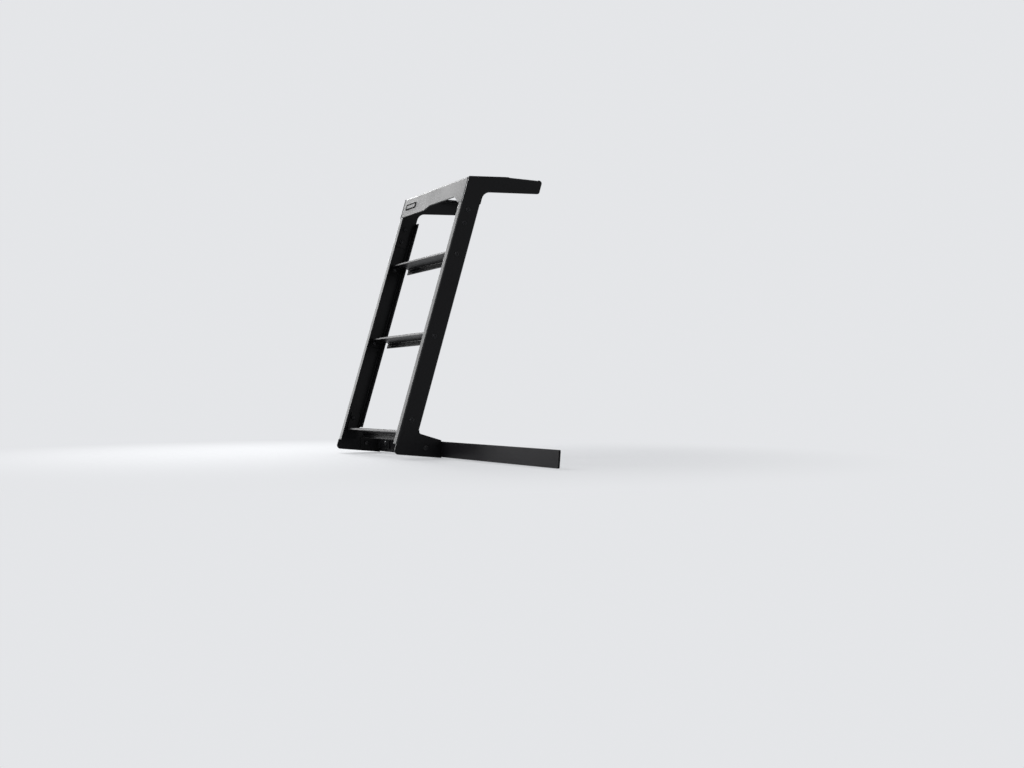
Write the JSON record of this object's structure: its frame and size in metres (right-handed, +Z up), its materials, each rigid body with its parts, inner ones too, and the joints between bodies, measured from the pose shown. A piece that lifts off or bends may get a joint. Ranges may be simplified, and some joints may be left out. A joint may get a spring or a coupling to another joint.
{
  "type": "vehicle side ladder",
  "caption": "Leaning bolt-on side ladder in folded black sheet: channel stiles with integral arms and feet, folded treads, a header fascia and a long flat base rail.",
  "frame": {"origin": "on the back face of the base rail, at the rail's mid-height, midway between the stiles", "axes": "+X across the ladder towards the rail's long end, +Y out of the rail's back face to the mounting side, +Z up"},
  "size_m": [0.9666, 0.4052, 0.704],
  "materials": {
    "powder_coat": "satin black powder coat on folded steel sheet",
    "rail_coat": "matt black powder coat on flat steel bar"
  },
  "bodies": {
    "root": {"front_stile": "powder_coat", "rear_stile": "powder_coat", "header": "powder_coat", "upper_tread": "powder_coat", "middle_tread": "powder_coat", "lower_tread": "powder_coat", "front_cleat": "powder_coat", "rear_cleat": "powder_coat", "base_rail": "rail_coat"}
  },
  "joints": []
}
